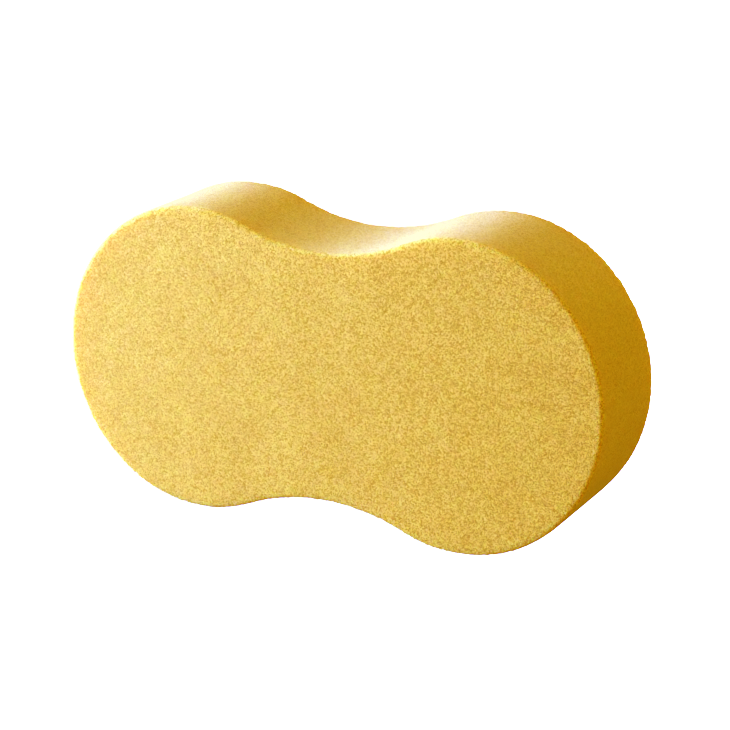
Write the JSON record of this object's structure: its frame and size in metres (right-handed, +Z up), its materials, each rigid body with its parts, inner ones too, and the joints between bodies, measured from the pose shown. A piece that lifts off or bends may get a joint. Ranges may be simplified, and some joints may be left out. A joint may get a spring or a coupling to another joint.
{
  "type": "cleaning sponge",
  "caption": "Cleaning sponge of open-cell foam, cut in one piece in a peanut shape with a waist to grip it by.",
  "frame": {"origin": "on the surface that the sponge stands on, under the middle of its waist", "axes": "+X along the length, +Y through the thickness from the front face to the back face, +Z up"},
  "size_m": [0.23, 0.049, 0.1224],
  "materials": {
    "yellow_foam": "matt open-cell polyurethane foam, yellow all through"
  },
  "bodies": {
    "root": {"foam_body": "yellow_foam"}
  },
  "joints": []
}
